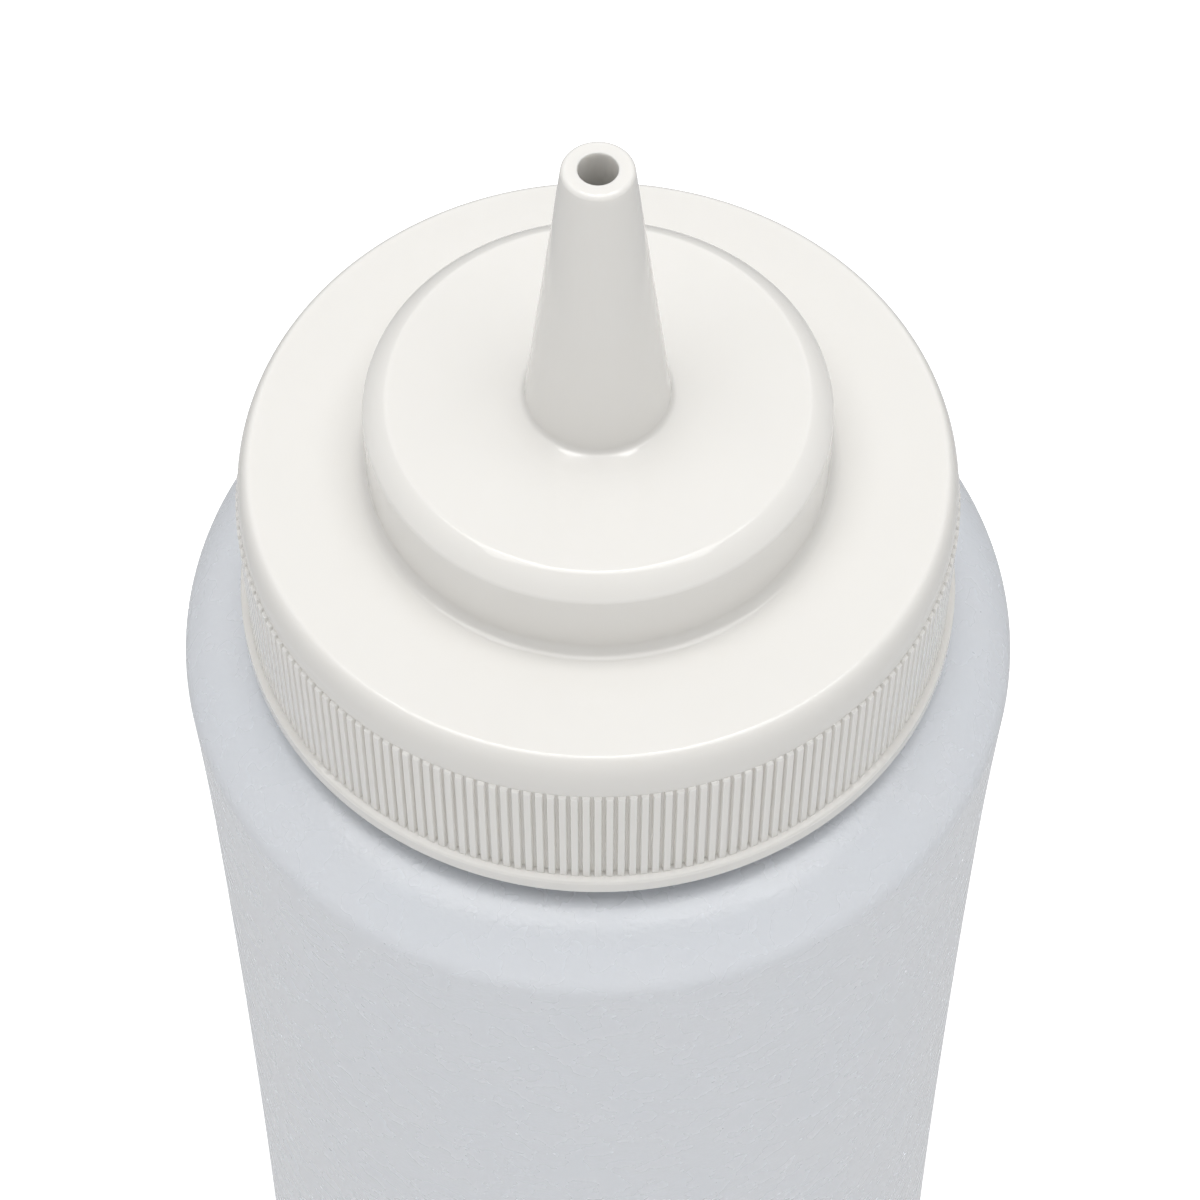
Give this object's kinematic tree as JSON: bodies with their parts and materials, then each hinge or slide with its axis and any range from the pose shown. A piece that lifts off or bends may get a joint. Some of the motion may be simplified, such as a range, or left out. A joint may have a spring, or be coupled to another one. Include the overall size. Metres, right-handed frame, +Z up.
{
  "type": "condiment squeeze bottle",
  "caption": "Wide-mouth condiment squeeze bottle with a frosted soft body and a white ribbed screw cap that carries a cone nozzle.",
  "frame": {"origin": "centre of the base, on the surface that the bottle stands on", "axes": "+Z up along the bottle's axis, from the base to the nozzle's tip; X and Y are free, because the outside is round"},
  "size_m": [0.0824, 0.0824, 0.2141],
  "materials": {
    "frosted_bottle_plastic": "frosted translucent, fine orange-peel texture",
    "liner_foam": "soft closed-cell foam",
    "white_cap_plastic": "smooth gloss, warm white"
  },
  "bodies": {
    "bottle": {"bottle": "frosted_bottle_plastic"},
    "seal": {"seal_liner": "liner_foam"},
    "cap": {"cap": "white_cap_plastic"}
  },
  "joints": [
    {"name": "cap_lift", "type": "slide", "parent": "bottle", "child": "seal", "axis": [0, 0, 1], "range_m": [0, 0.018]},
    {"name": "cap_turn", "type": "hinge", "parent": "seal", "child": "cap", "pos_m": [0, 0, 0.1736], "axis": [0, 0, 1], "range_deg": [0, 1530]}
  ],
  "couplings": [
    {"joint": "cap_lift", "follows": "cap_turn", "m_per_rad": 0.00067375}
  ]
}
